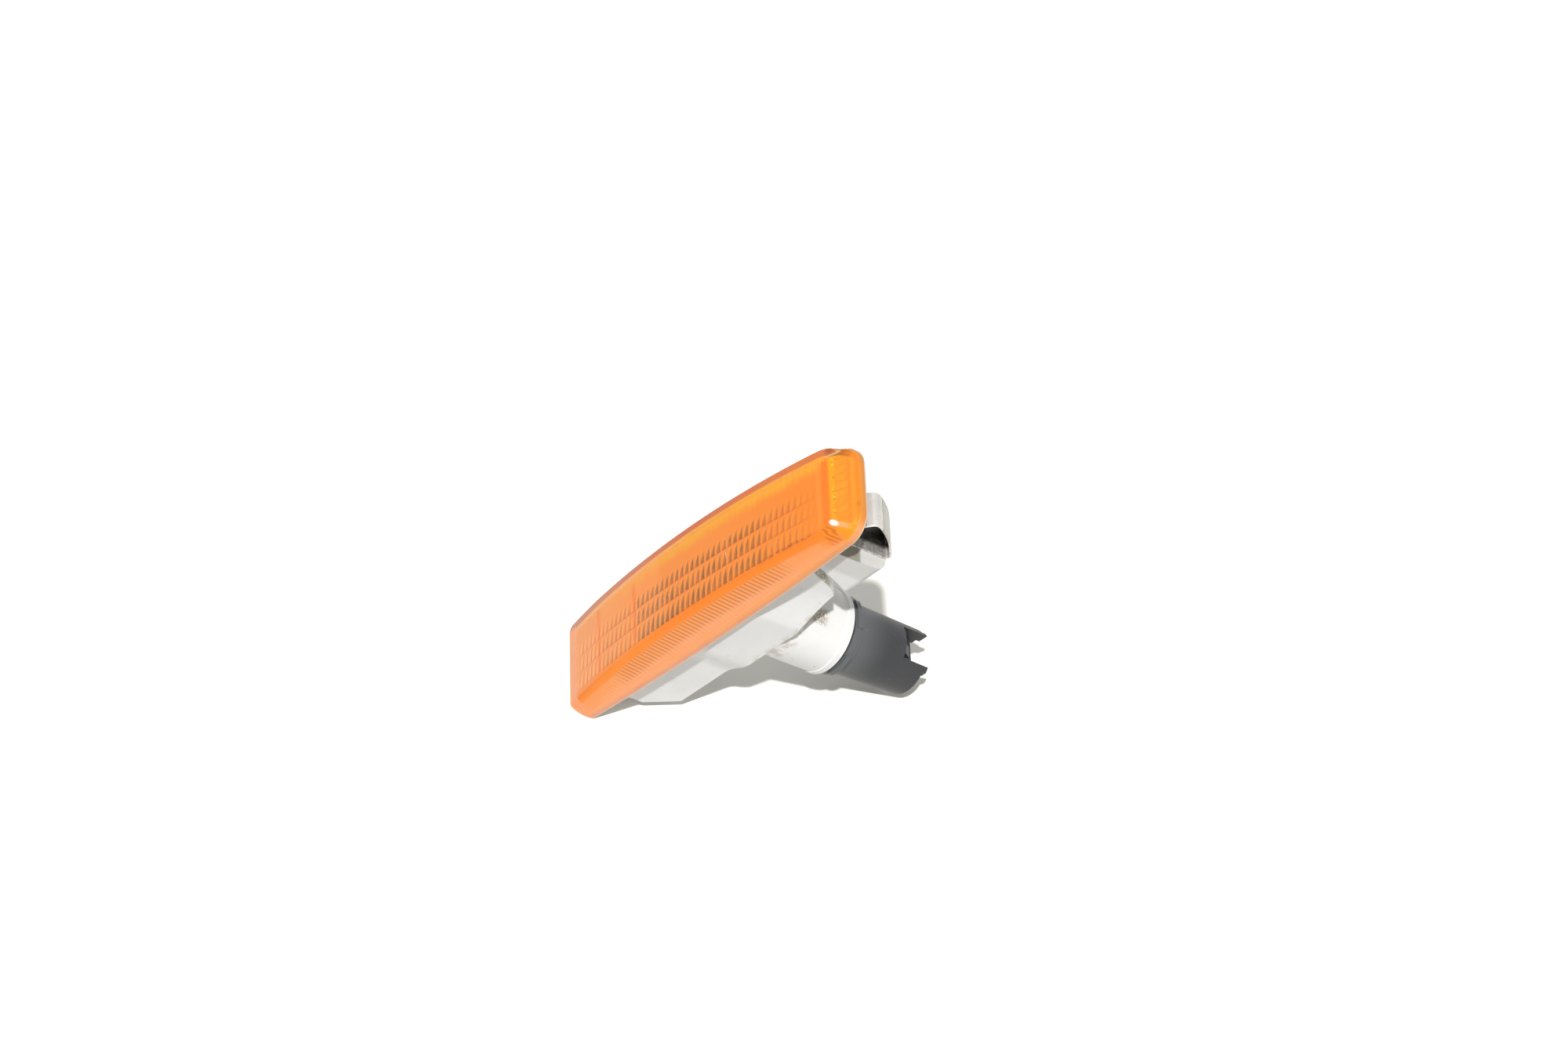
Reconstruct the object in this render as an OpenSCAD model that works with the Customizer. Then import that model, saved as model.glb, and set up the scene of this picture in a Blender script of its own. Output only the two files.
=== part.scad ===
// Side repeater lamp, as fixed on a car's front wing.
// +X runs along the lens towards the spring clip, -Y looks out of the wing
// and +Z is up. The origin is the centre of the rim's seat on the wing panel.

/* [Lens outline] */
// Length of the lens
lens_len = 109; // [105:1:115]
// Height of the lens at its two ends
lens_end_h = 25; // [24:0.5:28]
// How far each long side bows out at the middle
lens_bow = 1.5; // [0.5:0.1:2.5]
// Corner radius at the left end
left_corner_r = 2.2; // [1.5:0.1:4]
// Lower corner radius at the right end
right_low_corner_r = 6; // [4:0.5:8]
// Upper corner radius at the right end
right_top_corner_r = 6; // [4:0.5:8]

/* [Lens form] */
// Depth of the lens at the top of its crown
crown_depth = 10; // [9:0.25:12]
// Where the crown is highest along the length
crown_x = -4.5; // [-12:0.5:0]
// Radius of the crown along the length
crown_r = 350; // [320:10:500]
// Straight edge of the rim before the bevels start
rim_edge = 1.8; // [1.6:0.1:2.4]
// Height of the bevel along the lower side
low_bevel = 4.2; // [3:0.1:5.5]
// Length of the bevel at the right end
right_bevel = 8; // [6:0.25:10]
// Length of the flatter facet at the left end
left_facet = 14.4; // [10:0.2:18]
// Extra drop of that facet over its length
left_drop = 0.35; // [0.1:0.05:1]
// Wall of the lens
lens_wall = 2; // [1.8:0.1:2.4]

/* [Lens optics] */
// Pitch of the upright flutes inside the front
flute_pitch = 2; // [1.8:0.02:2.4]
// Depth of the flutes
flute_depth = 0.7; // [0.3:0.05:0.9]
// Height of one row of flutes
flute_row_h = 5.15; // [4.6:0.05:5.6]
// Number of fluted columns
flute_columns = 40; // [24:1:42]
// Depth of the fine ribs inside the lower bevel
rib_depth = 0.35; // [0.1:0.05:0.5]

/* [Lens seat] */
// Lip of the lens outside the housing's plate
seat_lip = 1; // [0.8:0.1:1.4]
// Depth of the rebate that the plate sits in
seat_depth = 1.2; // [1:0.1:1.4]
// Gap between the plate's edge and the lip
seat_gap = 0.15; // [0.1:0.05:0.3]

/* [Housing] */
// Height of the housing's middle plane over the lens's middle
housing_z = -0.9; // [-1.5:0.1:0]
// Wall of the skirt and the arm
skirt_wall = 1.6; // [1.2:0.1:2]
// Depth of the skirt behind the wing panel's outer face
skirt_depth = 16; // [14:0.5:18]
// Half height of the skirt along its left part
skirt_left_h = 8.5; // [7:0.25:9.5]
// Half height of the skirt beside the sleeve
skirt_mid_h = 11; // [10.6:0.1:11.4]
// Half height of the skirt at its right end
skirt_right_h = 7.3; // [6.5:0.1:8]
// Distance from the lens's left end to the skirt
skirt_setback = 11; // [9:0.5:12]
// Lean of the skirt's right end, from its rear edge to the plate
skirt_lean = 12; // [10:0.5:13]
// Length of the chamfer at the skirt's left rear corner
skirt_chamfer_x = 6; // [4:0.5:8]
// Depth of that chamfer
skirt_chamfer_y = 7.5; // [5:0.5:9]

/* [Arm and tongue] */
// Distance from the lens's right end to the arm's outer face
arm_setback = 15.5; // [14:0.5:17]
// Width of the arm beside the skirt's rear edge
arm_w = 12.3; // [11:0.1:14]
// Half height of the arm
arm_h = 8.2; // [7.5:0.1:9]
// Depth of the arm
arm_depth = 18.6; // [17.5:0.1:19.5]
// Rounding of the arm's rear corners
arm_round = 3.5; // [2:0.1:4.5]
// Mouth of the groove between the skirt's leaning end and the arm
arm_gap = 4.2; // [3:0.1:5]
// Lean of the arm's left side, from the skirt's rear edge to the plate
arm_lean = 6; // [4:0.5:7]
// Reach of the locating tongue past the skirt
tongue_len = 5.5; // [4:0.5:7]
// Thickness of the tongue
tongue_t = 2.2; // [1.6:0.1:3]
// Half height of the tongue
tongue_h = 6; // [4:0.5:7]
// Room for the wing panel between the rim and the tongue
panel_room = 4.6; // [4.4:0.1:5.4]

/* [Sleeve] */
// Place of the sleeve along the lamp
sleeve_x = -0.9; // [-3:0.1:1]
// Outer radius of the sleeve
sleeve_r = 10.8; // [10.5:0.1:11]
// Bore radius of the sleeve
sleeve_bore_r = 9.25; // [9.1:0.05:9.5]
// Rear end of the sleeve
sleeve_depth = 33.3; // [31:0.1:36]
// Width of the raised collar at the sleeve's mouth
collar_w = 1.6; // [1:0.1:3]
// Height of that collar
collar_h = 0.3; // [0.1:0.05:0.5]
// Distance from the mouth back to the twist-lock ledge
ledge_back = 9.3; // [8.5:0.1:10]
// Thickness of the ledge
ledge_t = 2; // [1.5:0.1:2.5]
// How far the ledge stands into the bore
ledge_h = 1.05; // [0.8:0.05:1.2]

/* [Spring clip] */
// Width of the strip
clip_w = 9.3; // [8:0.1:10.5]
// Thickness of the strip
clip_t = 0.6; // [0.4:0.05:0.8]
// Reach of the crest past the arm's face
clip_crest = 10.4; // [9:0.1:11.5]
// Depth of the crest behind the rim
clip_crest_y = 7.7; // [7:0.1:8.5]
// How far the strip bulges out between its bend and its crest
clip_bulge = 0.8; // [0.2:0.1:1.2]
// Radius of the stake that holds the strip
stake_r = 1.4; // [1:0.1:1.8]
// Gap between the stake and its hole
stake_gap = 0.1; // [0.05:0.05:0.2]

/* [Bulb holder] */
// Length of the holder behind its flange
holder_len = 22.7; // [21:0.1:27]
// Radius of the holder's body beside the flange
holder_r = 9.2; // [8.8:0.1:9.6]
// Radius of the body at its open end
holder_end_r = 8.6; // [8.3:0.1:9]
// Radius of the flange
flange_r = 10.3; // [10:0.1:10.6]
// Thickness of the flange
flange_t = 2; // [1.6:0.1:2.6]
// Radial gap between the plug and the bore
plug_gap = 0.2; // [0.1:0.05:0.3]
// Reach of the plug in front of the ledge
plug_nose = 4.5; // [3.5:0.1:5]
// Thickness of the seal under the flange
seal_t = 1; // [0.6:0.1:1.6]
// Depth of the connector socket
socket_depth = 13; // [11:0.5:14]
// Width of the socket
socket_w = 7.6; // [7:0.1:8.2]
// Height of the socket
socket_h = 9.6; // [8.6:0.1:10]
// Depth of the latch notch in the holder's end
notch_depth = 7; // [5:0.5:9]
// Half height of that notch
notch_h = 4.4; // [4:0.1:5]
// How far the socket's wall stops short of the end beside the notch
notch_step = 1.5; // [1:0.1:3]
// Reach of the two guide tabs beside the notch past the holder's end
tab_len = 1.1; // [0.5:0.1:1.6]
// Thickness of those tabs
tab_t = 1.2; // [0.8:0.1:1.6]

/* [Bulb and terminals] */
// Radius of the bulb's glass
bulb_r = 4.9; // [4.5:0.1:5.1]
// Length of the bulb from tip to base
bulb_len = 26.8; // [25:0.1:28]
// Length of the bulb's flat base
base_len = 6.6; // [6:0.1:7.2]
// Width of the flat base
base_w = 9.4; // [9:0.1:9.6]
// Thickness of the flat base
base_t = 2.4; // [2:0.1:2.8]
// Thickness of a terminal's strip
term_t = 0.6; // [0.4:0.05:0.8]
// Width of a terminal's strip
term_w = 4; // [3:0.1:4.6]
// How far a terminal's blade stands into the socket
blade_len = 8; // [6:0.5:8.5]
// Gap round a terminal in the holder
term_gap = 0.05; // [0.02:0.01:0.1]

/* [Hidden] */
$fn = 72;
over = 0.5;

half_len = lens_len / 2;
half_h = lens_end_h / 2;
ridge_x = half_len - right_bevel;
crease_x = -half_len + left_facet;
left_inset = 0.3;
skirt_left_x = -half_len + skirt_setback;
arm_x = half_len - arm_setback;
skirt_right_x = arm_x - arm_w - arm_gap;
corner_steps = 6;
station_step = flute_pitch / 3;
flute_start = -flute_columns * flute_pitch / 2 - 1.65;
flute_end = flute_start + flute_columns * flute_pitch;

amber = [0.98, 0.55, 0.14];
shell_grey = [0.87, 0.86, 0.84];
spring_grey = [0.62, 0.62, 0.62];
holder_black = [0.24, 0.25, 0.27];

// Stations along the lens, closer together round the end corners
function stations(step) =
    let (left = -half_len + left_corner_r,
         right = half_len - right_low_corner_r,
         n = ceil((right - left) / step))
    concat(
        [for (k = [0:corner_steps - 1]) -half_len + left_corner_r * (1 - cos(90 * k / corner_steps))],
        [for (k = [0:n]) left + (right - left) * k / n],
        [for (k = [corner_steps - 1:-1:0]) half_len - right_low_corner_r * (1 - cos(90 * k / corner_steps))]);

// The lens's own stations: three to a flute, in step with the flutes, and wider apart beside them
function spread(a, b, step) = let (n = max(1, ceil((b - a) / step))) [for (k = [0:n - 1]) a + (b - a) * k / n];
function lens_stations() =
    let (left = -half_len + left_corner_r, right = half_len - right_low_corner_r)
    concat(
        [for (k = [0:corner_steps - 1]) -half_len + left_corner_r * (1 - cos(90 * k / corner_steps))],
        spread(left, flute_start, 2 * station_step),
        [for (k = [0:3 * flute_columns - 1]) flute_start + k * station_step],
        spread(flute_end, right, 2 * station_step), [right],
        [for (k = [corner_steps - 1:-1:0]) half_len - right_low_corner_r * (1 - cos(90 * k / corner_steps))]);

function corner_cut(e, r) = e >= r ? 0 : r - sqrt(max(0, r * r - (r - e) * (r - e)));
function bow(x) = lens_bow * (1 - (x / half_len) * (x / half_len));

// Lower and upper edge of the rim's outline at x, moved in by an inset
function low_edge(x, inset) =
    let (left = x + half_len - inset, right = half_len - inset - x)
    -half_h + inset - bow(x)
    + corner_cut(left, max(left_corner_r - inset, 0.3))
    + corner_cut(right, max(right_low_corner_r - inset, 0.3));
function top_edge(x, inset) =
    let (left = x + half_len - inset, right = half_len - inset - x)
    half_h - inset + bow(x)
    - corner_cut(left, max(left_corner_r - inset, 0.3))
    - corner_cut(right, max(right_top_corner_r - inset, 0.3));
function inset_x(x, inset) = x * (half_len - inset) / half_len;

// Depth of the front: one long crown, with a facet at its left end
function crown(x) = crown_depth - (x - crown_x) * (x - crown_x) / (2 * crown_r);
function front_depth(x) =
    x >= crease_x ? crown(x) : crown(x) - left_drop * (crease_x - x) / left_facet;

// One ring of the lens: the lower edge from left to right, then the upper edge back
function rim_ring(xs, inset, y) = concat(
    [for (x = xs) let (u = inset_x(x, inset)) [u, y, low_edge(u, inset)]],
    [for (k = [len(xs) - 1:-1:0]) let (u = inset_x(xs[k], inset)) [u, y, top_edge(u, inset)]]);

// The ridge ring bounds the front face; t is the wall, 0 for the outer face
bevel_turn = atan2(low_bevel, crown_depth - rim_edge);
right_turn = atan2(right_bevel, front_depth(ridge_x) - rim_edge);
function ridge_in(t, turn) = t / tan((90 + turn) / 2);
function ridge_map(x, t) =
    let (hold_r = ridge_x - 6, hold_l = -half_len + 4,
         right = ridge_x - ridge_in(t, right_turn),
         left = -half_len + left_inset + t)
    x > hold_r ? hold_r + (x - hold_r) * (right - hold_r) / (half_len - hold_r)
    : x < hold_l ? hold_l + (x - hold_l) * (left - hold_l) / (-half_len - hold_l)
    : x;
function ridge_low(x, t) = -half_h - bow(x) + low_bevel + ridge_in(t, bevel_turn);
function ridge_top(x, t) = half_h + bow(x) - t - 0.3;
function ridge_end(x) =
    corner_cut(half_len - x, right_low_corner_r) * 0.35 + corner_cut(half_len + x, left_corner_r) * 0.8;
function ridge_ring(xs, t) = concat(
    [for (x = xs) let (u = ridge_map(x, t)) [u, -(front_depth(u) - t), ridge_low(u, t) + ridge_end(x)]],
    [for (k = [len(xs) - 1:-1:0]) let (x = xs[k], u = ridge_map(x, t))
        [u, -(front_depth(u) - t), ridge_top(u, t) - ridge_end(x)]]);

// Ribs inside the lower bevel: every second station stands in by rib_depth
function rib_ring(xs, part) =
    let (a = rim_ring(xs, lens_wall, -seat_depth), b = ridge_ring(xs, lens_wall), n = len(xs))
    [for (k = [0:2 * n - 1])
        let (p = a[k] + (b[k] - a[k]) * part,
             ribbed = k < n && xs[k] > flute_start && xs[k] < flute_end && k % 2 == 0)
        p + (ribbed ? [0, rib_depth * sin(bevel_turn), rib_depth * cos(bevel_turn)] : [0, 0, 0])];

// Level rows of flutes from the inner ridge up: each row is deep along its foot and runs out
// towards its top, and its flutes are saw teeth with an upright right side
flute_profile = [0, 0.5, 1];
row_count = 3;
row_foot = ridge_low(0, lens_wall) + 0.1;
row_step = 0.3;
row_lines = [for (r = [0:row_count - 1]) for (e = [0, 1])
    [row_foot + r * flute_row_h + e * (flute_row_h - row_step), e == 0 ? 1 : 0.15]];
line_gap = 0.12;
function flute(x) =
    x < flute_start || x > flute_end ? 0
    : let (q = (x - flute_start) / flute_pitch, f = q - floor(q), s = min(2, floor(f * 3)), w = f * 3 - s)
      flute_depth * (flute_profile[s] * (1 - w) + flute_profile[(s + 1) % 3] * w);
// Where the outline draws in at the ends, the lines stay in order between the two ridges
function flute_line(xs, i) =
    let (line = row_lines[i], last = len(row_lines) - 1)
    [for (k = [1:len(xs) - 2])
        let (x = xs[k], u = ridge_map(x, lens_wall), z0 = ridge_low(u, lens_wall) + ridge_end(x),
             z1 = ridge_top(u, lens_wall) - ridge_end(x))
        [u, -(front_depth(u) - lens_wall - flute(x) * line[1]),
         min(z1 - line_gap * (last - i + 1), max(z0 + line_gap * (i + 1), line[0]))]];

// Joins two closed rings of m points that start at a and b
function band(a, b, m) = [for (k = [0:m - 1]) let (n = (k + 1) % m)
    each [[a + k, b + n, a + n], [a + k, b + k, b + n]]];
// Joins two open lines of n points
function strip(a, b, n) = [for (k = [0:n - 2])
    each [[a + k, b + k + 1, a + k + 1], [a + k, b + k, b + k + 1]]];
function flip(faces) = [for (f = faces) [f[2], f[1], f[0]]];

module lens() {
    xs = lens_stations();
    n = len(xs);
    m = 2 * n;
    outer = [rim_ring(xs, 0, 0), rim_ring(xs, 0, -rim_edge), ridge_ring(xs, 0)];
    inner = [rim_ring(xs, seat_lip, 0), rim_ring(xs, seat_lip, -seat_depth),
             rim_ring(xs, lens_wall, -seat_depth), rib_ring(xs, 0.3), rib_ring(xs, 0.85),
             ridge_ring(xs, lens_wall)];
    lines = [for (i = [0:len(row_lines) - 1]) flute_line(xs, i)];
    points = concat([for (r = outer) each r], [for (r = inner) each r], [for (l = lines) each l]);
    in0 = 3 * m;
    last = in0 + 5 * m;
    row0 = last + m;
    rows = len(lines);
    top_rail = [for (k = [0:n - 1]) last + m - 1 - k];
    // Front face: from the lower edge of the ridge ring straight to its upper edge
    front = [for (k = [0:n - 2]) let (a = 2 * m + k, b = 3 * m - 1 - k)
        each [[a, b - 1, a + 1], [a, b, b - 1]]];
    nl = n - 2;
    inside = concat(
        strip(last + 1, row0, nl),
        [for (r = [0:rows - 2]) each strip(row0 + r * nl, row0 + (r + 1) * nl, nl)],
        [for (k = [0:nl - 2]) let (a = row0 + (rows - 1) * nl + k)
            each [[a, top_rail[k + 2], a + 1], [a, top_rail[k + 1], top_rail[k + 2]]]]);
    // The two ends of the flute lines close onto the ends of the inner ridge ring
    left_end = concat([last, last + 1], [for (r = [0:rows - 1]) row0 + r * nl],
                      [last + m - 2, last + m - 1]);
    right_end = concat([last + n - 1, last + n - 2], [for (r = [0:rows - 1]) row0 + r * nl + nl - 1],
                       [last + n + 1, last + n]);
    ends = concat(
        [for (k = [1:rows + 2]) [left_end[0], left_end[k + 1], left_end[k]]],
        [for (k = [1:rows + 2]) [right_end[0], right_end[k], right_end[k + 1]]]);
    faces = concat(
        band(0, m, m), band(m, 2 * m, m), front,
        flip(band(0, in0, m)),
        [for (r = [0:4]) each flip(band(in0 + r * m, in0 + (r + 1) * m, m))],
        flip(inside), flip(ends));
    color(amber) polyhedron(points = points, faces = faces, convexity = 8);
}

// Profile in the X-Y plane drawn out along Z, from -h to h about the housing's middle
module upright(h) {
    translate([0, 0, housing_z - h]) linear_extrude(2 * h) children();
}

// Profile in the X-Z plane drawn out along +Y from y0 to y1
module deep(y0, y1) {
    translate([0, y1, 0]) rotate([90, 0, 0]) linear_extrude(y1 - y0) children();
}

module round_y(r, y0, y1, x = sleeve_x) {
    translate([x, y1, housing_z]) rotate([90, 0, 0]) cylinder(r = r, h = y1 - y0);
}

plate_inset = seat_lip + seat_gap;
module plate_outline() {
    xs = stations(7);
    polygon(concat(
        [for (x = xs) let (u = inset_x(x, plate_inset)) [u, low_edge(u, plate_inset)]],
        [for (k = [len(xs) - 1:-1:0]) let (u = inset_x(xs[k], plate_inset)) [u, top_edge(u, plate_inset)]]));
}

swell = 10;
swell_half = 9;
skirt_front_x = skirt_right_x + skirt_lean;
module skirt_outline(inset) {
    left = skirt_left_x + inset;
    right = skirt_front_x - inset;
    a = sleeve_x - swell_half;
    b = sleeve_x + swell_half;
    lh = skirt_left_h - inset;
    mh = skirt_mid_h - inset;
    rh = skirt_right_h - inset;
    side = concat([[left, lh]],
        [for (t = [0:0.125:1]) [a - swell * (1 - t), lh + (mh - lh) * (1 - cos(180 * t)) / 2]],
        [for (t = [0:0.125:1]) [b + (skirt_right_x - b) * t, mh - (mh - rh) * (t * 0.5 + sin(90 * t) * 0.5)]],
        [[right, rh]]);
    translate([0, housing_z])
        polygon(concat([for (p = side) p], [for (k = [len(side) - 1:-1:0]) [side[k][0], -side[k][1]]]));
}

// Side view of the skirt: a chamfer at its left rear corner and a leaning right end
module skirt_side(inset) {
    polygon([[skirt_left_x + inset, -over], [skirt_front_x - inset + skirt_lean * over / skirt_depth, -over],
             [skirt_right_x - inset, skirt_depth + (inset > 0 ? over : 0)],
             [skirt_left_x + skirt_chamfer_x + inset, skirt_depth + (inset > 0 ? over : 0)],
             [skirt_left_x + inset, skirt_depth - skirt_chamfer_y]]);
}

module skirt() {
    difference() {
        intersection() {
            deep(-over, skirt_depth) skirt_outline(0);
            upright(skirt_mid_h) skirt_side(0);
        }
        intersection() {
            deep(0, skirt_depth + over) skirt_outline(skirt_wall);
            upright(skirt_mid_h) skirt_side(skirt_wall);
        }
    }
}

// The arm's left side meets the skirt's leaning end at the foot of a groove
arm_slope = arm_lean / skirt_depth;
arm_front_x = skirt_right_x + arm_gap + arm_lean;
arm_rear_x = arm_front_x - arm_slope * arm_depth;
module arm_plan(inset) {
    polygon([[arm_front_x + arm_slope * over + inset, -over], [arm_x - inset, -over],
             [arm_x - inset, arm_depth + over], [arm_rear_x - arm_slope * over + inset, arm_depth + over]]);
}
module arm_section(h, depth, r) {
    translate([arm_rear_x - 5, 0, housing_z]) rotate([90, 0, 90]) linear_extrude(arm_x - arm_rear_x + 10)
        polygon(concat([[-over, -h]],
            [for (k = [0:6]) [depth - r + r * sin(15 * k), -h + r - r * cos(15 * k)]],
            [for (k = [6:-1:0]) [depth - r + r * sin(15 * k), h - r + r * cos(15 * k)]],
            [[-over, h]]));
}
module arm() {
    difference() {
        intersection() {
            arm_section(arm_h, arm_depth, arm_round);
            upright(arm_h + 1) arm_plan(0);
        }
        upright(arm_h - skirt_wall) intersection() {
            arm_plan(skirt_wall);
            translate([arm_rear_x - 5, 2]) square([60, arm_depth + 5]);
        }
    }
    // Stake through the strip, with its head pressed flat
    translate([arm_x - over, stake_y, housing_z]) rotate([0, 90, 0]) cylinder(r = stake_r, h = over + clip_t);
    translate([arm_x + clip_t, stake_y, housing_z]) rotate([0, 90, 0]) cylinder(r = stake_r + 0.7, h = 0.5);
}

module tongue() {
    translate([skirt_left_x - tongue_len, panel_room, housing_z - tongue_h])
        cube([tongue_len + skirt_wall / 2, tongue_t, 2 * tongue_h]);
    // Three gussets behind the tongue
    for (k = [-1:1])
        translate([0, 0, housing_z + k * (tongue_h - 0.6) - 0.6]) linear_extrude(1.2)
            polygon([[skirt_left_x + skirt_wall / 2, panel_room + tongue_t - over],
                     [skirt_left_x - tongue_len + 1.5, panel_room + tongue_t - over],
                     [skirt_left_x - tongue_len + 1.5, panel_room + tongue_t],
                     [skirt_left_x, panel_room + tongue_t + 1.6],
                     [skirt_left_x + skirt_wall / 2, panel_room + tongue_t + 1.6]]);
}

ledge_y = sleeve_depth - ledge_back;
lug_half = 25;
module sleeve_walls() {
    round_y(sleeve_r, -over, sleeve_depth);
    round_y(sleeve_r + collar_h, sleeve_depth - collar_w, sleeve_depth);
}
module sleeve_bore() {
    round_y(sleeve_bore_r, -seat_depth - over, ledge_y - ledge_t);
    round_y(sleeve_bore_r - ledge_h, ledge_y - ledge_t - over, ledge_y + over);
    round_y(sleeve_bore_r, ledge_y, sleeve_depth + over);
    // Two gaps that the holder's lugs pass through before the twist
    for (side = [0, 180])
        translate([sleeve_x, ledge_y + over, housing_z]) rotate([90, 0, 0])
            intersection() {
                cylinder(r = sleeve_bore_r, h = ledge_t + 2 * over);
                rotate([0, 0, side]) translate([0, -lug_w / 2 - 0.4, -over])
                    cube([sleeve_bore_r + over, lug_w + 0.8, ledge_t + 4 * over]);
            }
}

web_depth = 5;
module housing() {
    color(shell_grey) difference() {
        union() {
            deep(-seat_depth, 0) plate_outline();
            skirt();
            arm();
            tongue();
            sleeve_walls();
            // Two webs tie the sleeve to the skirt's left end
            for (h = [-4.2, 4.2])
                translate([skirt_left_x + skirt_wall / 2, -over, housing_z + h - 0.6])
                    cube([sleeve_x - skirt_left_x - sleeve_r, web_depth + over, 1.2]);
        }
        sleeve_bore();
    }
}

// The strip's middle line in the X-Y plane: stake leg, hairpin, ramp, crest and seat
stake_y = 8;
leg_x = arm_x + clip_t / 2;
leg_y0 = 5;
hairpin_r = 0.9;
hairpin_y = arm_depth - hairpin_r;
crest_r = 1.8;
crest_x = arm_x + clip_crest;
seat_len = 4;
hairpin = [for (a = [180:-18.5:50]) [leg_x + hairpin_r * (1 + cos(a)), hairpin_y + hairpin_r * sin(a)]];
crest = [for (a = [30:-16:-50]) [crest_x - crest_r * (1 - cos(a)), clip_crest_y + crest_r * sin(a)]];
ramp_from = hairpin[len(hairpin) - 1];
ramp = crest[0] - ramp_from;
ramp_out = [-ramp[1], ramp[0]] / norm(ramp);
clip_line = concat(
    [[leg_x, leg_y0]], hairpin,
    [for (t = [0.125:0.125:0.875]) ramp_from + ramp * t + ramp_out * clip_bulge * 4 * t * (1 - t)],
    crest, [crest[len(crest) - 1] + seat_len * [-cos(40), -sin(40)]]);
function side_of(p, k, d) =
    let (a = p[max(k - 1, 0)], b = p[min(k + 1, len(p) - 1)], v = b - a, l = norm(v))
    p[k] + d * [-v[1], v[0]] / l;
module spring_clip() {
    n = len(clip_line);
    color(spring_grey) difference() {
        upright(clip_w / 2)
            polygon(concat([for (k = [0:n - 1]) side_of(clip_line, k, clip_t / 2)],
                           [for (k = [n - 1:-1:0]) side_of(clip_line, k, -clip_t / 2)]));
        translate([arm_x - over, stake_y, housing_z]) rotate([0, 90, 0])
            cylinder(r = stake_r + stake_gap, h = clip_t + 2 * over);
    }
}

// Bulb holder, from its nose inside the sleeve to the connector end
flange_y = sleeve_depth + seal_t;
body_y = flange_y + flange_t;
end_y = body_y + holder_len;
nose_y = ledge_y - ledge_t - plug_nose;
plug_r = sleeve_bore_r - plug_gap;
nose_r = sleeve_bore_r - ledge_h - plug_gap;
socket_y = end_y - socket_depth;
lug_w = 6;
lug_t = 1.8;
base_gap = 0.15;
base_y = nose_y + base_len + 0.6;
socket_wall = 1;
socket_x = sleeve_x - 1;
notch_z = -0.4;

module box_at(x0, x1, y0, y1, z0, z1) {
    translate([x0, y0, housing_z + z0]) cube([x1 - x0, y1 - y0, z1 - z0]);
}

module terminal_slot(side) {
    z0 = term_z - term_t / 2 - term_gap;
    z1 = term_z + term_t / 2 + term_gap;
    w = term_w / 2 + term_gap;
    box_at(sleeve_x - w, sleeve_x + w, base_y - over, socket_y + over,
           side > 0 ? z0 : -z1, side > 0 ? z1 : -z0);
}

module bulb_holder() {
    wall_x = socket_x + socket_w / 2 + socket_wall;
    color(holder_black) {
        holder_body();
        // Latch ramp that the plug's tongue snaps over
        translate([0, 0, housing_z - 1.6]) linear_extrude(3.2)
            polygon([[wall_x - 0.5, end_y - notch_step - 0.4], [wall_x, end_y - notch_step - 0.4],
                     [wall_x + 1.3, end_y - notch_step - 2.6], [wall_x + 1.3, end_y - notch_step - 3.1],
                     [wall_x - 0.5, end_y - notch_step - 3.1]]);
    }
}

module holder_body() {
    difference() {
        union() {
            round_y(nose_r, nose_y, ledge_y + over);
            round_y(plug_r, ledge_y + 0.3, flange_y + over);
            round_y(flange_r, flange_y, body_y);
            round_y(holder_r + 0.5, body_y - over, body_y + 1.4);
            translate([sleeve_x, body_y, housing_z]) rotate([-90, 0, 0])
                cylinder(r1 = holder_r, r2 = holder_end_r, h = holder_len);
            // Bayonet lugs, turned a quarter from the ledge's gaps
            intersection() {
                round_y(plug_r, ledge_y - ledge_t - 0.2 - lug_t, ledge_y - ledge_t - 0.2);
                box_at(sleeve_x - lug_w / 2, sleeve_x + lug_w / 2, nose_y, ledge_y,
                       -plug_r - over, plug_r + over);
            }
            // Guide tabs above and below the notch, past the body's end
            for (side = [-1, 1])
                intersection() {
                    round_y(holder_end_r - 0.02, end_y - over, end_y + tab_len);
                    box_at(sleeve_x + 4.5, sleeve_x + holder_end_r, end_y - over, end_y + tab_len,
                           notch_z + side * notch_h - (side < 0 ? tab_t : 0),
                           notch_z + side * notch_h + (side > 0 ? tab_t : 0));
                }
            // Grip blocks round the flange
            for (a = [-5, 80, 175, 260])
                intersection() {
                    round_y(flange_r + 0.5, flange_y + 0.5, body_y);
                    translate([sleeve_x, 0, housing_z]) rotate([0, a, 0])
                        translate([0, flange_y, -4]) cube([flange_r + over, flange_t + over, 8]);
                }
        }
        // Socket for the bulb's flat base and the leaves beside it
        box_at(sleeve_x - base_w / 2 - base_gap, sleeve_x + base_w / 2 + base_gap,
               nose_y - over, base_y, -base_t / 2 - base_gap, base_t / 2 + base_gap);
        box_at(sleeve_x - term_w / 2 - 0.3, sleeve_x + term_w / 2 + 0.3,
               nose_y - over, base_y, -leaf_room, leaf_room);
        terminal_slot(1);
        terminal_slot(-1);
        // Connector socket, open at the end
        box_at(socket_x - socket_w / 2, socket_x + socket_w / 2, socket_y, end_y + over,
               -socket_h / 2, socket_h / 2);
        // Latch notch beside the socket, whose wall stops short of the end there
        box_at(socket_x + socket_w / 2 + socket_wall, sleeve_x + holder_r + over,
               end_y - notch_depth, end_y + over, notch_z - notch_h, notch_z + notch_h);
        box_at(socket_x + socket_w / 2 - over, sleeve_x + holder_r + over,
               end_y - notch_step, end_y + over, notch_z - notch_h, notch_z + notch_h);
    }
}

module holder_seal() {
    color(holder_black) difference() {
        round_y(sleeve_r - 0.3, sleeve_depth, flange_y);
        round_y(plug_r + 0.1, sleeve_depth - over, flange_y + over);
    }
}

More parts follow.
